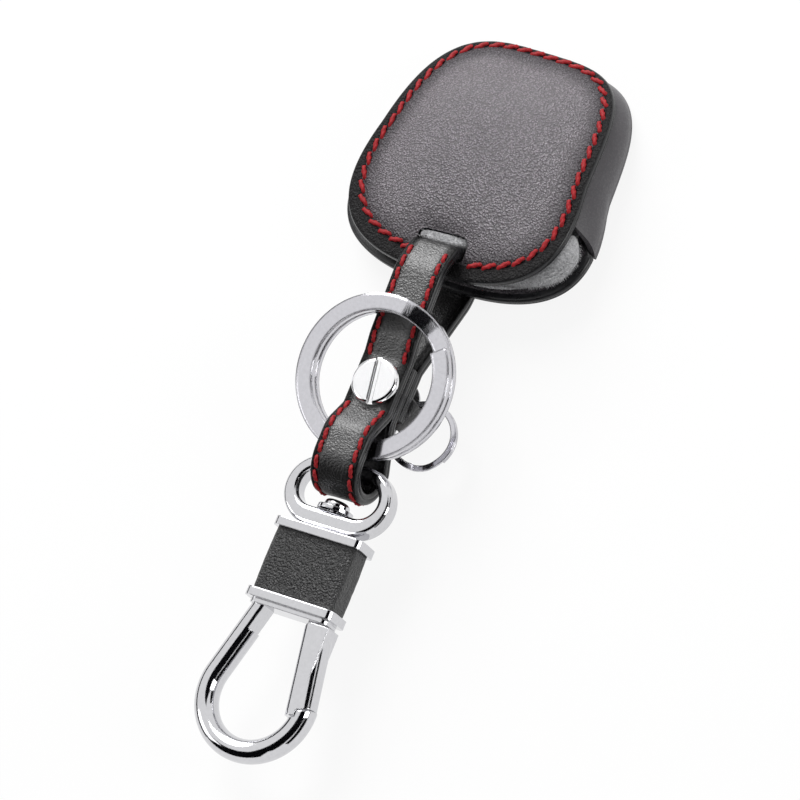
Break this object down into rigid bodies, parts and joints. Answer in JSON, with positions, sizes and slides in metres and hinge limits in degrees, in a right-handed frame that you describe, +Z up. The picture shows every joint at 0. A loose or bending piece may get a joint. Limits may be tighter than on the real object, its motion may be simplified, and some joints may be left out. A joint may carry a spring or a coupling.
{
  "type": "key fob cover",
  "caption": "Puffed leather key fob cover on a folded, stitched strap with a split key ring, a small ring and a swivel snap hook with a leather-wrapped block.",
  "frame": {"origin": "on the surface the cover lies on, under the middle of its length and width; the strap screw's axis passes through it", "axes": "+Z up out of the puffed front panel, +Y along the strap from the snap hook to the closed end of the case, +X to the right seen from the front"},
  "size_m": [0.0534, 0.1493, 0.0219],
  "materials": {
    "pebbled_leather": "pebbled, semi-matt",
    "smooth_leather": "smooth, satin",
    "plush": "short grey plush",
    "red_thread": "waxed twisted thread",
    "chrome": "polished",
    "ring_steel": "satin nickel",
    "spring_steel": "drawn wire"
  },
  "bodies": {
    "cover": {"front_panel": "pebbled_leather", "back_panel": "pebbled_leather", "side_band": "smooth_leather", "front_lining": "plush", "back_lining": "plush", "band_lining": "plush", "front_stitching": "red_thread", "back_stitching": "red_thread", "strap": "pebbled_leather", "strap_stitching": "red_thread", "strap_screw": "chrome", "strap_screw_post": "chrome", "ring_tab": "smooth_leather"},
    "key_ring": {"key_ring": "ring_steel"},
    "small_ring": {"small_ring": "ring_steel"},
    "swivel_eye": {"swivel_eye": "chrome"},
    "hook": {"hook_body": "chrome", "hook_wrap": "pebbled_leather", "swivel_rivet": "chrome", "swivel_washer": "chrome", "gate_pin": "chrome"},
    "gate": {"gate": "chrome", "gate_spring": "spring_steel"}
  },
  "joints": [
    {"name": "key_ring_swing", "type": "hinge", "parent": "cover", "child": "key_ring", "pos_m": [0, -0.01236, 0.01419], "axis": [1, 0, 0], "range_deg": [0, 75]},
    {"name": "small_ring_swing", "type": "hinge", "parent": "cover", "child": "small_ring", "pos_m": [0.00328, -0.00202, 0.00685], "axis": [0.5255, 0.8508, 0], "range_deg": [-3, 18]},
    {"name": "eye_swing", "type": "hinge", "parent": "cover", "child": "swivel_eye", "pos_m": [0, -0.0166, 0.0113], "axis": [1, 0, 0], "range_deg": [-18, 40]},
    {"name": "hook_swivel", "type": "hinge", "parent": "swivel_eye", "child": "hook", "pos_m": [0, -0.0288, 0.0113], "axis": [0, 1, 0], "continuous": true},
    {"name": "gate_open", "type": "hinge", "parent": "hook", "child": "gate", "pos_m": [0.0056, -0.0479, 0.0113], "axis": [0, 0, -1], "range_deg": [0, 36], "stiffness_Nm_per_rad": 0.02, "springref_deg": -11.46}
  ]
}
